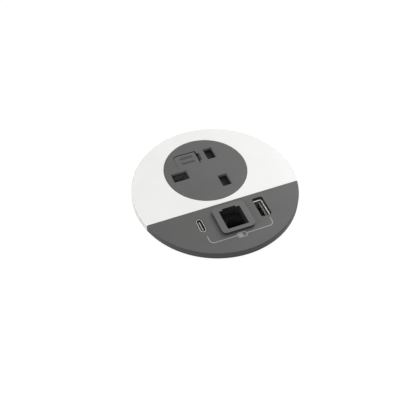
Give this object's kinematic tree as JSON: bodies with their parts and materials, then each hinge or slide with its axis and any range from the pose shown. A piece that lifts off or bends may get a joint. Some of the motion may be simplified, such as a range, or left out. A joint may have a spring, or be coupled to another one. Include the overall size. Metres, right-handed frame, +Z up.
{
  "type": "in-desk power and data socket",
  "caption": "Round in-desk module: three-pin socket with pull-out fuse, data port, USB-A and USB-C under a low two-tone disc, barrel and ring nut below.",
  "frame": {"origin": "centre of the disc on the desk surface, where the barrel enters the desk hole", "axes": "+Z up out of the desk, +Y from the data ports towards the socket, +X to the right along the seam"},
  "size_m": [0.0928, 0.0928, 0.0664],
  "materials": {
    "base_plastic": "moulded thermoset",
    "black_plastic": "satin moulded nylon",
    "board": "solder mask",
    "brass": "rolled sheet",
    "can": "sleeved can",
    "ferrite": "ground ferrite",
    "fuse_glass": "clear",
    "gold": "gold plated",
    "grey_plastic": "fine spark texture, moulded ABS",
    "jack_plastic": "polished black",
    "plated_metal": "bright plated",
    "screw_steel": "zinc plated",
    "shutter_plastic": "smooth acetal",
    "spring_steel": "drawn wire",
    "tongue_plastic": "moulded nylon",
    "washer_plastic": "smooth acetal",
    "white_plastic": "fine satin moulded ABS",
    "winding": "taped winding"
  },
  "bodies": {
    "module": {"white_trim": "white_plastic", "data_plate": "grey_plastic", "socket_face": "grey_plastic", "socket_base": "base_plastic", "live_contact": "brass", "neutral_contact": "brass", "earth_contact": "brass", "fuse_clip": "brass", "base_screws": "screw_steel", "face_screws": "screw_steel", "plate_screws": "screw_steel", "jack_frame": "grey_plastic", "data_jack": "jack_plastic", "front_jack_pins": "gold", "rear_jack_pins": "gold", "usb_a_shell": "plated_metal", "usb_a_tongue": "tongue_plastic", "usb_a_pins": "gold", "usb_c_shell": "plated_metal", "usb_c_tongue": "tongue_plastic", "usb_board": "board", "charger_board": "board", "transformer_core": "ferrite", "transformer_bobbin": "winding", "capacitors": "can", "body_shell": "black_plastic", "rear_cover": "black_plastic", "cover_screws": "screw_steel", "mains_inlet": "black_plastic", "inlet_pins": "brass", "shutter_spring": "spring_steel", "usb_c_pins": "gold"},
    "shutter": {"shutter": "shutter_plastic"},
    "fuse_drawer": {"fuse_carrier": "grey_plastic", "fuse_tube": "fuse_glass", "fuse_caps": "plated_metal", "fuse_link": "plated_metal"},
    "washer": {"slip_washer": "washer_plastic"},
    "ring_nut": {"clamp_nut": "black_plastic"}
  },
  "joints": [
    {"name": "shutter_slide", "type": "slide", "parent": "module", "child": "shutter", "axis": [1, 0, 0], "range_m": [0, 0.0056], "stiffness_N_per_m": 120, "springref_m": -0.004, "deforming": ["shutter_spring"]},
    {"name": "fuse_pull", "type": "slide", "parent": "module", "child": "fuse_drawer", "axis": [0, 0, 1], "range_m": [0, 0.024]},
    {"name": "washer_travel", "type": "slide", "parent": "module", "child": "washer", "axis": [0, 0, 1], "range_m": [-0.008, 0.012]},
    {"name": "nut_turn", "type": "hinge", "parent": "washer", "child": "ring_nut", "pos_m": [0, 0, -0.03], "axis": [0, 0, 1], "range_deg": [-720, 1080]}
  ],
  "couplings": [
    {"joint": "nut_turn", "follows": "washer_travel", "rad_per_m": 1570.8}
  ]
}
